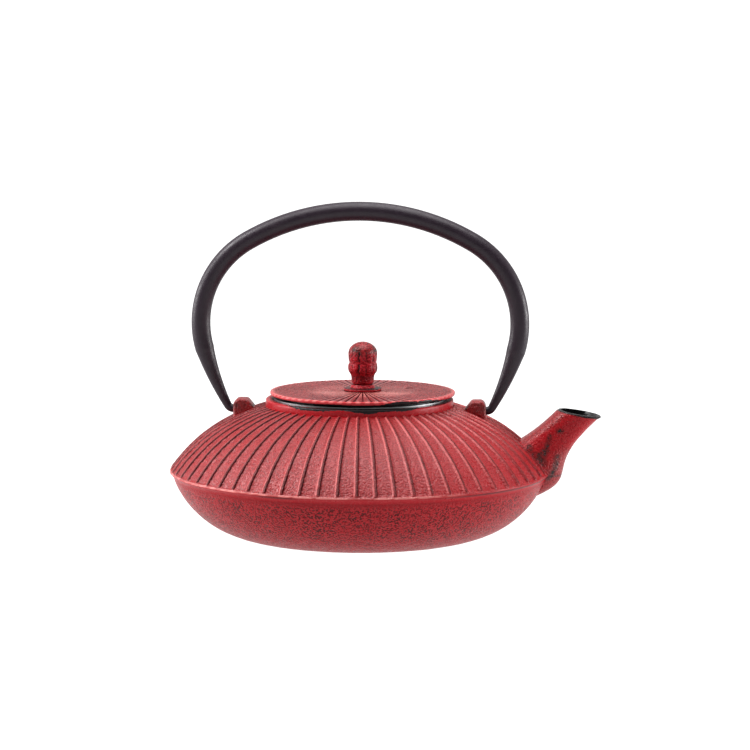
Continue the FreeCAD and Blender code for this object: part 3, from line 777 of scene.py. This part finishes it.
def stroke_distance(across, up, start, end):
    """Distance of places (across, up) from a straight stroke."""
    start, end = np.array(start), np.array(end)
    run = end - start
    share = np.clip(((across - start[0]) * run[0] + (up - start[1]) * run[1]) / (run @ run), 0, 1)
    return np.hypot(across - start[0] - share * run[0], up - start[1] - share * run[1])


class PotPlaces:
    """The pot's points, how far beyond the plain shell they lie, and masks of its parts."""

    def __init__(self, pot):
        self.points, self.normals = points_of(pot), normals_of(pot)
        self.x, self.y, self.height = self.points.T
        self.radius = np.hypot(self.x, self.y)
        self.beyond = self.radius - shell_radius(self.height)
        self.outside = self.beyond > -3.0
        added = self.beyond > 0.25
        self.lug = added & (np.abs(self.y) < LUG_SIDE) & (np.abs(np.abs(self.x) - LUG_MIDDLE) < LUG_REACH)
        self.spout = added & (self.x > 60)
        shell = self.outside & ~self.spout
        self.shoulder = shell & ~self.lug & (self.height > 29.7) & (self.radius > 42.3)
        self.bowl = shell & (self.height < BAND_FOOT + 0.3)


def paint_coat(pot, at):
    """Where the rib marks lie, how much of their painted highlight shows (falling off towards the spout),
    and painted shade with more gloss on upper faces.
    """
    ribbed = between(29.9, 31.0, 59.2, 59.6, at.height)
    # The ribs' painted highlight and shade are weaker at the far left.
    far_left = (smooth_step(0, -30, at.x) * smooth_step(-35, -5, at.y)
                * smooth_step(35, 5, at.y))
    paint(pot, ribbed=at.shoulder * ribbed * (1 - 0.45 * far_left))
    paint(pot, brushed=smooth_step(84.0, 52.0, at.x))
    outward, upward = at.normals[:, 0], at.normals[:, 2]
    spout_back = smooth_step(0.2, 0.42, -outward) * (upward > -0.2)
    keel = smooth_step(0.1, 0.5, outward - 0.6 * upward) * smooth_step(45, 36, at.height)
    # Painted shade with more gloss: on the shoulder (less towards the spout), the lugs, and the spout's
    # back and keel.
    shade_gloss_shoulder = at.shoulder * (1 - 0.5 * smooth_step(10, 60, at.x))
    paint(pot, dusty=shade_gloss_shoulder + 0.9 * at.lug + at.spout * np.maximum(spout_back, keel))


def paint_rim(pot, at):
    """A painted highlight in a broken line on the rim, fading towards the spout, and painted shade under
    the rim and at the foot of the band.
    """
    brushed = smooth_step(60.0, 25.0, at.x)
    # Painted highlight along the rim's edge.
    line = (at.radius > 84.6) & (at.height > 29.25) & (at.height < 30.05)
    breaks = smooth_step(-0.35, 0.1, lattice_noise(at.points, 2.4, 3))
    paint(pot, edge=line * brushed * (0.35 + 0.65 * breaks))
    # Painted shade under the rim, in patches and all along towards the spout, and in the step at the
    # band's foot.
    under = between(28.0, 28.5, 28.9, 29.2, at.height) * (at.radius > 83.5)
    shade_patches = np.maximum(smooth_step(0.1, 0.5, lattice_noise(at.points, 16.0, 4)), 1 - brushed)
    groove = 0.45 * at.outside * np.exp(-((at.height - BAND_FOOT) / 0.4) ** 2) * ~at.spout
    paint(pot, crevice=np.maximum(0.9 * under * shade_patches, groove))


def collar_wear(at):
    """Black along the mouth of the collar, at its front and back only."""
    collar = (at.radius > 40.5) & (at.radius < 42.4) & (at.height > 58.5) & ~at.lug
    wander = lattice_noise(at.points * (1, 1, 0), 12.0, 5)
    start = 60.7 + 1.3 * wander + 2.5 * smooth_step(26, 42, np.abs(at.x))
    return collar * smooth_step(-0.3, 0.5, at.height - start)


def spout_wear(at):
    """Black round the spout's lip, deeper at its tip, and in strokes on the flanks."""
    back, tip = np.array(SPOUT_BACK[-1]), np.array(SPOUT_FRONT[-1])
    run = tip - back
    above = (at.height - back[1]) * run[0] - (at.x - back[0]) * run[1]
    above /= np.hypot(*run)
    reach = 0.3 + 0.7 * smooth_step(92, 106, at.x)
    wear = (at.x > 84) * smooth_step(-reach - 0.7, -reach + 0.3, above)
    for start, end, half_width in SPOUT_WEAR:
        away = stroke_distance(at.x, at.height, start, end)
        stroke = 0.43 * smooth_step(half_width + 1.6, half_width * 0.5, away)
        wear = np.maximum(wear, stroke * (at.x > 70) * (at.beyond > -0.3))
    return wear


def paint_wear(pot, at):
    """Paint worn to black, and to brown on the lugs and round the spout's black."""
    uneven = at.height + 0.8 * lattice_noise(at.points, 4.0, 8)
    lug_wear = 0.6 * at.lug * (np.abs(at.y) > 3.0) * smooth_step(59.6, 57.2, uneven)
    bare = np.maximum.reduce([collar_wear(at), spout_wear(at), lug_wear])
    thin = np.maximum(0.95 * at.lug * smooth_step(61.6, 59.0, at.height),
                      at.spout * smooth_step(0.0, 0.4, bare))
    paint(pot, thin=thin, bare=bare)


def finish_pot(pot):
    """Paint layers of the pot, then its cast lumps, which stay inside the skin."""
    at = PotPlaces(pot)
    paint_coat(pot, at)
    paint_rim(pot, at)
    paint_wear(pot, at)
    pitted = at.bowl * smooth_step(26.3, 24.0, at.height) * (0.45 + 0.55 * smooth_step(3, 11, at.height))
    paint(pot, pits=pitted + 0.08 * at.shoulder + 0.15 * at.spout + 0.2 * at.lug)
    cast = at.bowl | at.shoulder | at.spout | at.lug
    paint(pot, grain=0.7 * at.bowl + 1.15 * at.shoulder + 0.7 * at.spout + 0.6 * at.lug
          + 0.25 * ~cast)

    lumps = 0.045 * lattice_noise(at.points, 2.3, 11) + 0.03 * lattice_noise(at.points, 5.5, 12)
    outward = (at.normals[:, :2] * at.points[:, :2]).sum(axis=1) / np.maximum(at.radius, 1)
    strength = at.outside * (outward > -0.3) * (0.4 + 0.6 * cast) * smooth_step(0.05, 1.0, at.height)
    move_points(pot, at.points + at.normals * ((lumps - 0.075) * strength)[:, None])


# ---- lid

LID_SHIFT = 1.3  # of lid, plate and knob, towards the spout
LID_SIDE = [(40.35, 65.18), (40.6, 65.08), (40.95, 65.1), (41.25, 64.98), (41.4, 64.7),
            (41.4, 64.1), (41.25, 63.7), (40.9, 63.5), (38.0, 63.5), (35.8, 63.5), (35.8, 61.7),
            (35.5, 61.45), (33.8, 61.45), (32.2, 61.45), (32.2, 59.5), (32.2, 57.9),
            (31.9, 57.6), (30.2, 57.6), (29.9, 57.9), (29.9, 59.5), (29.9, 61.8), (29.2, 62.5),
            (15.0, 62.5), (6.5, 62.5), (2.4, 62.5)]
LID_TOP, LID_HOLE = 65.3, 2.4
LID_PHASE = math.radians(-86.7)  # bearing of one groove
LID_GROOVE = 0.75  # depth at the edge
VENT_RADIUS, VENT_DISTANCE, VENT_BEARING = 1.75, 23.0, math.radians(28.0)
# Columns across one rib of the lid, from groove to groove, and how far each lies down.
LID_SHARES = np.array([0, 0.07, 0.16, 0.32, 0.5, 0.68, 0.84, 0.93])
LID_SINK = np.array([1.0, 0.56, 0.38, 0.15, 0.0, 0.15, 0.38, 0.56])


def shift_to_lid(piece):
    piece.data.transform(Matrix.Translation((LID_SHIFT * MM, 0, 0)))


def lid_casting():
    """Flat lid with radial ribs, a seat ring, a locating skirt and a steam hole."""
    stops = np.concatenate([[LID_HOLE, 5.0, 8.0, 8.8, 9.4], np.linspace(10.6, 38.6, 25),
                            [39.3, 39.8, 40.1]])
    depth = LID_GROOVE * np.interp(stops, [8.8, 9.4, 20, 39.3, 40.1], [0, 0.45, 0.75, 1.0, 0.9])
    columns = RIB_COUNT * len(LID_SHARES)
    sink = np.tile(LID_SINK, RIB_COUNT)
    radii = [np.full(columns, stop) for stop in stops]
    heights = [LID_TOP - reach * sink for reach in depth]
    for radius, height in LID_SIDE:
        radii.append(np.full(columns, radius))
        heights.append(np.full(columns, height))
    turn = (np.arange(RIB_COUNT)[:, None] + LID_SHARES).ravel() * PITCH + LID_PHASE
    radii, heights = np.array(radii)[::-1], np.array(heights)[::-1]
    lid = turned_object("lid_casting", radii, heights, np.tile(turn, (len(radii), 1)), True)
    centre = VENT_DISTANCE * np.array([math.cos(VENT_BEARING), math.sin(VENT_BEARING)])
    combine(lid, "DIFFERENCE", [rod("vent", VENT_RADIUS, (*centre, 60.0), (*centre, 67.0), 40)])
    shift_to_lid(lid)
    return lid


def finish_lid(lid):
    """Paint layers of the lid, then its cast lumps, which stay inside the skin."""
    points, normals = points_of(lid), normals_of(lid)
    across, height = points[:, 0] - LID_SHIFT, points[:, 2]
    radius = np.hypot(across, points[:, 1])
    top = (height > 64.8) & (radius > 8.6) & (radius < 40.3)
    underside = (height < 63.6) | (radius < 8.0)
    wander = lattice_noise((points - (LID_SHIFT, 0, 0)) * (1, 1, 0), 9.0, 7)
    # The side is black up to a wandering line, which climbs at the front right.
    climb = (points[:, 1] < 0) * between(9, 17, 30, 38, across)
    side_black = (radius > 38) * smooth_step(0.3, 0.0, height - 63.4 - 0.3 * wander - 1.3 * climb)
    # Marks on the top, and painted shade with more gloss there.
    paint(lid, ribbed=top, dusty=top)
    # Painted highlight between the grooves, strongest near the plate on the front half.
    front = 0.35 + 0.65 * smooth_step(0.0, -8.0, points[:, 1])
    paint(lid, brushed=0.10 + 0.62 * smooth_step(28, 18, radius) * front)
    # Painted highlight in dashes on the rim at the ribs, and faintly on the side.
    turn = (np.arctan2(points[:, 1], across) - LID_PHASE) / PITCH
    ridge = smooth_step(0.2, 0.35, np.abs(turn - np.round(turn)))
    paint(lid, edge=(0.15 + 0.5 * ridge) * smooth_step(39.2, 39.9, radius) * (height > 64.6)
          + 0.15 * (radius > 40.0) * (height < 64.6))
    paint(lid, bare=np.maximum(underside, side_black))
    paint(lid, pits=0.25 * top, grain=0.8 * top + 0.25 * ~top)
    lumps = 0.03 * lattice_noise(points, 2.0, 21) + 0.025 * lattice_noise(points, 5.0, 22)
    move_points(lid, points + normals * ((lumps - 0.055) * (height > 63.0))[:, None])


# ---- knob and plate

KNOB_PROFILE = [(2.1, 68.15), (4.0, 68.15), (4.45, 68.3), (4.75, 68.7), (4.95, 69.4),
                (5.05, 70.2), (5.1, 71.0), (5.2, 71.8), (5.45, 72.5), (5.9, 73.2), (6.35, 73.9),
                (6.55, 74.6), (6.6, 75.4), (6.58, 76.2), (6.5, 76.9), (6.3, 77.5), (6.15, 77.9),
                (6.2, 78.3), (6.32, 78.9), (6.4, 79.7), (6.45, 80.6), (6.48, 81.5)]
KNOB_DOME, KNOB_TOP, DOME_RADIUS = 82.0, 87.2, 6.5
RIVET_BORE, RIVET_BORE_TOP = 2.1, 80.0
FACETS, KNOB_PHASE = 12, math.radians(17.0)  # facets round the knob, bearing of one flute


def knob_outline():
    """Rivet bore, then the outside in even steps from the foot to the top."""
    dome = [(DOME_RADIUS * math.cos(turn), KNOB_DOME + (KNOB_TOP - KNOB_DOME) * math.sin(turn))
            for turn in np.radians([0, 9, 18, 27, 36, 45, 54, 63, 72, 80, 86])]
    outside = np.array([*KNOB_PROFILE[1:], *dome])
    run = run_along(outside)
    even = sample(np.linspace(0, 1, 76) * run[-1], run, outside)
    return np.vstack([[(RIVET_BORE, RIVET_BORE_TOP), (RIVET_BORE, 74.0)], KNOB_PROFILE[:1], even])


def knob_relief(angles, heights):
    """Depth of the flutes, roughness, and how deep the surface lies in all."""
    place = np.stack([6 * np.cos(angles), 6 * np.sin(angles), heights], axis=-1)

    def noise(stretch, pitch, seed):
        return lattice_noise(place.reshape(-1, 3) * stretch, pitch, seed).reshape(heights.shape)

    wobble, rough = noise((1, 1, 0.35), 2.6, 31), noise(1, 1.3, 33)
    drift = 0.10 * noise((0.3, 0.3, 1), 1.5, 32)
    phase = (angles - KNOB_PHASE) * FACETS / (2 * math.pi) + drift + 0.05 * wobble
    groove = 1 - np.abs(np.sin(math.pi * phase)) ** 0.55
    groove = groove * (0.72 + 0.28 * np.sin(2.4 * np.round(phase) + 0.6))
    upper = between(77.9, 78.9, 82.6, 84.4, heights)
    lower = between(72.2, 73.6, 77.0, 78.0, heights)
    flutes = (0.9 * upper + 0.8 * lower) * (0.85 + 0.3 * wobble) * groove
    waist = np.exp(-((heights - 77.9 - 0.35 * wobble) / 0.55) ** 2)
    sink = flutes + (0.15 + 0.2 * wobble) * waist
    return flutes, rough, sink + (0.05 + 0.06 * rough) * smooth_step(68.3, 69.0, heights)


def knob_casting():
    """Cast bud-shaped knob: two tiers of facets under a dome."""
    outline = knob_outline()
    radii, heights, angles = turned_grid(outline, FACETS * 12)
    flutes, rough, sink = knob_relief(angles, heights)
    skin = (np.arange(len(outline)) > 2)[:, None]  # all but the bore and the foot
    radii = radii - skin * np.clip(sink, 0, 1.4) * np.minimum(radii / 5.0, 1)
    knob = turned_object("knob_casting", radii, heights, angles)
    shift_to_lid(knob)
    # Two zeros stand for the poles.
    finish_knob(knob, *(np.append(values, [0, 0]) for values in (flutes, rough)))
    return knob


def finish_knob(knob, flutes, dents):
    """Paint layers of the knob, worn on its dome."""
    points = points_of(knob)
    height = points[:, 2]
    blotch = lattice_noise(points, 3.2, 34)
    high = smooth_step(80.5, 83.5, height)
    paint(knob, thin=(0.1 + 0.75 * high) * smooth_step(-0.1, 0.4, blotch))
    paint(knob, bare=0.6 * smooth_step(0.2, 0.55, flutes)
          + 0.47 * high * smooth_step(0.0, 0.5, blotch) + 0.2 * smooth_step(0.1, 0.6, dents))
    neck = between(69.6, 71.0, 71.8, 73.0, height)
    # Painted shade in the flutes and the neck.
    paint(knob, crevice=smooth_step(0.1, 0.5, flutes) + neck * 0.5)
    # Painted shade with more gloss on the dome; pits and grain all over.
    paint(knob, dusty=0.8 * high, pits=0.8, grain=0.5)


def knob_plate():
    """Seat plate and pedestal between the knob and the lid."""
    outline = [(2.3, 65.3), (8.2, 65.3), (8.5, 65.5), (8.5, 66.1), (8.3, 66.42), (8.0, 66.5),
               (7.0, 66.5), (6.1, 66.5), (5.75, 66.62), (5.5, 67.0), (5.15, 67.5), (4.9, 67.85),
               (4.7, 68.05), (4.4, 68.1), (2.3, 68.1)]
    plate = plain_turned("knob_plate_casting", outline, 96, True)
    shift_to_lid(plate)
    points, normals = points_of(plate), normals_of(plate)
    height = points[:, 2]
    lumps = lattice_noise(points, 1.8, 41)
    free = (height > 65.45) & (height < 68.0)
    move_points(plate, points + normals * ((0.06 * lumps - 0.06) * free)[:, None])
    paint(plate, thin=0.3 * smooth_step(-0.2, 0.8, lumps))
    step = (0.35 + 0.25 * smooth_step(-4, 6, points[:, 0])) * between(66.2, 66.4, 66.45, 66.9, height)
    paint(plate, bare=step + 0.6 * smooth_step(67.7, 68.1, height)
          + 0.5 * smooth_step(65.6, 65.3, height))
    # Painted shade in the corner where the pedestal rises from the plate.
    paint(plate, crevice=between(66.3, 66.45, 66.5, 67.0, height))
    paint(plate, pits=0.3, grain=0.7)
    return plate


# ---- infuser wire

WIRE_RADIUS, WEAVE, WIRE_PITCH = 0.15, 0.11, 1.1
WALL_RADIUS, WALL_FOOT, WALL_TOP = 33.95, 20.7, 57.8
FLOOR_RADIUS, FLOOR_HEIGHT = 33.6, 20.75
WIRE_SIDES = 4


def wire_mesh(name, paths, closed):
    """Thin wires, each a tube of a few sides along its own path of points (n, 3)."""
    points, faces = [], []
    start = 0
    corners = np.arange(WIRE_SIDES)[:, None] * 2 * math.pi / WIRE_SIDES + math.pi / 4
    for path, out in paths:
        if closed:
            run = np.roll(path, -1, axis=0) - np.roll(path, 1, axis=0)
        else:
            run = np.gradient(path, axis=0)
        run /= np.linalg.norm(run, axis=1)[:, None]
        side = np.cross(run, out)
        side /= np.linalg.norm(side, axis=1)[:, None]
        lift = np.cross(side, run)
        ring = np.cos(corners) * side[:, None] + np.sin(corners) * lift[:, None]
        count = len(path)
        faces += (np.array(grid_faces(count, WIRE_SIDES, closed)) + start).tolist()
        if not closed:
            faces.append([start + corner for corner in range(WIRE_SIDES)][::-1])
            last = start + (count - 1) * WIRE_SIDES
            faces.append([last + corner for corner in range(WIRE_SIDES)])
        points.append((path[:, None] + WIRE_RADIUS * ring).reshape(-1, 3))
        start += count * WIRE_SIDES
    return make_object(name, np.vstack(points), faces)


def infuser_wall():
    """Upright wires and rings of wire that weave over and under each other."""
    upright_count = 2 * round(math.pi * WALL_RADIUS / WIRE_PITCH)
    ring_count = int((WALL_TOP - WALL_FOOT) / WIRE_PITCH)
    heights = WALL_FOOT + WIRE_PITCH * (np.arange(2 * ring_count + 1) / 2)
    uprights = []
    for index in range(upright_count):
        turn = 2 * math.pi * index / upright_count
        out = np.array([math.cos(turn), math.sin(turn), 0])
        sway = WEAVE * np.cos(math.pi * (np.arange(len(heights)) / 2 + index))
        path = (WALL_RADIUS + sway)[:, None] * out + heights[:, None] * (0, 0, 1)
        uprights.append((path, np.tile(out, (len(path), 1))))
    rings = []
    steps = np.arange(2 * upright_count)
    turns = math.pi * steps / upright_count
    out = np.stack([np.cos(turns), np.sin(turns), 0 * turns], axis=1)
    for index in range(ring_count + 1):
        sway = -WEAVE * np.cos(math.pi * (steps / 2 + index))
        path = (WALL_RADIUS + sway)[:, None] * out
        path[:, 2] = WALL_FOOT + WIRE_PITCH * index
        rings.append((path, out))
    return [wire_mesh("infuser_wall_uprights", uprights, False),
            wire_mesh("infuser_wall_rings", rings, True)]


def infuser_floor():
    """Two crossing sets of wires, cut to a disc."""
    count = int(FLOOR_RADIUS / WIRE_PITCH)
    paths = []
    for along in (0, 1):
        for index in range(-count, count + 1):
            place = index * WIRE_PITCH
            reach = int(2 * math.sqrt(FLOOR_RADIUS ** 2 - place ** 2) / WIRE_PITCH)
            steps = np.arange(-reach, reach + 1)
            path = np.zeros((len(steps), 3))
            path[:, along] = steps * WIRE_PITCH / 2
            path[:, 1 - along] = place
            sign = 1 if along else -1
            path[:, 2] = FLOOR_HEIGHT + sign * WEAVE * np.cos(math.pi * (steps / 2 + index))
            paths.append((path, np.tile([0.0, 0, 1], (len(path), 1))))
    return wire_mesh("infuser_floor_wire", paths, False)


# ---- put together

def dress(piece, body, nodes, material, sharp_degrees=None):
    """Puts a piece in place of its CAD nodes; material None keeps what it wears."""
    piece.data.shade_smooth()
    if sharp_degrees:
        piece.data.set_sharp_from_angle(angle=math.radians(sharp_degrees))
    if material:
        piece.data.materials.clear()
        piece.data.materials.append(material)
    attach(piece, body)
    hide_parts(*nodes)


def dress_cad(node, material):
    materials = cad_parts[node].data.materials
    materials.clear()
    materials.append(material)


add_stage()
pot_red = red_enamel("pot_red", rib_marks, fresh=((0.37, 0.009, 0.017), (0.45, 0.013, 0.022)))
# The lid's top is darker still, a painted shade, and its ribs carry a painted highlight.
lid_red = red_enamel("lid_red", lid_marks, shaded_colours=((0.17, 0.009, 0.012), (0.22, 0.012, 0.017)),
                     highlight=(0.82, 0.34, 0.31))
red = red_enamel("red_enamel")
black = coating("black_enamel", ((0.010, 0.010, 0.011), (0.022, 0.021, 0.022)), (0.22, 0.36), 0.10,
                ((5.0, 3.0), (3.0, 3.0), (1.6, 3.0)))
pot = pot_casting(pot_red, black)
finish_pot(pot)
dress(pot, "pot", ["pot_body"], None, 70.0)

lid = lid_casting()
finish_lid(lid)
dress(lid, "lid", ["lid"], lid_red, 40.0)
plate = knob_plate()
dress(plate, "lid", ["knob_seat_plate"], red, 50.0)
knob = knob_casting()
dress(knob, "knob", ["lid_knob"], red, 60.0)

sheet_steel = steel("sheet_steel", (0.42, 0.42, 0.43), (0.30, 0.30, 0.31), 0.30, 0.25, 0.01, (1, 1, 0.2))
wire_steel = steel("wire_steel", (0.62, 0.62, 0.63), (0.46, 0.46, 0.47), 0.26, 0.3, 0.01)
plain_steel = steel("plain_steel", (0.45, 0.44, 0.43), (0.30, 0.29, 0.28), 0.34, 0.6, 0.04)
for wires in infuser_wall():
    dress(wires, "infuser", ["infuser_mesh_wall"], wire_steel)
dress(infuser_floor(), "infuser", ["infuser_mesh_floor"], wire_steel)
for node in ("infuser_rim", "infuser_base_ring"):
    dress_cad(node, sheet_steel)
for node in ("knob_rivet", "rivet_washer"):
    dress_cad(node, plain_steel)
satin = coating("satin_black", ((0.022, 0.014, 0.022), (0.036, 0.022, 0.034)), (0.36, 0.48), 0.02,
                ((6.0, 3.0), (2.0, 4.0), (0.8, 3.0)))
dress_cad("handle_bail", satin)
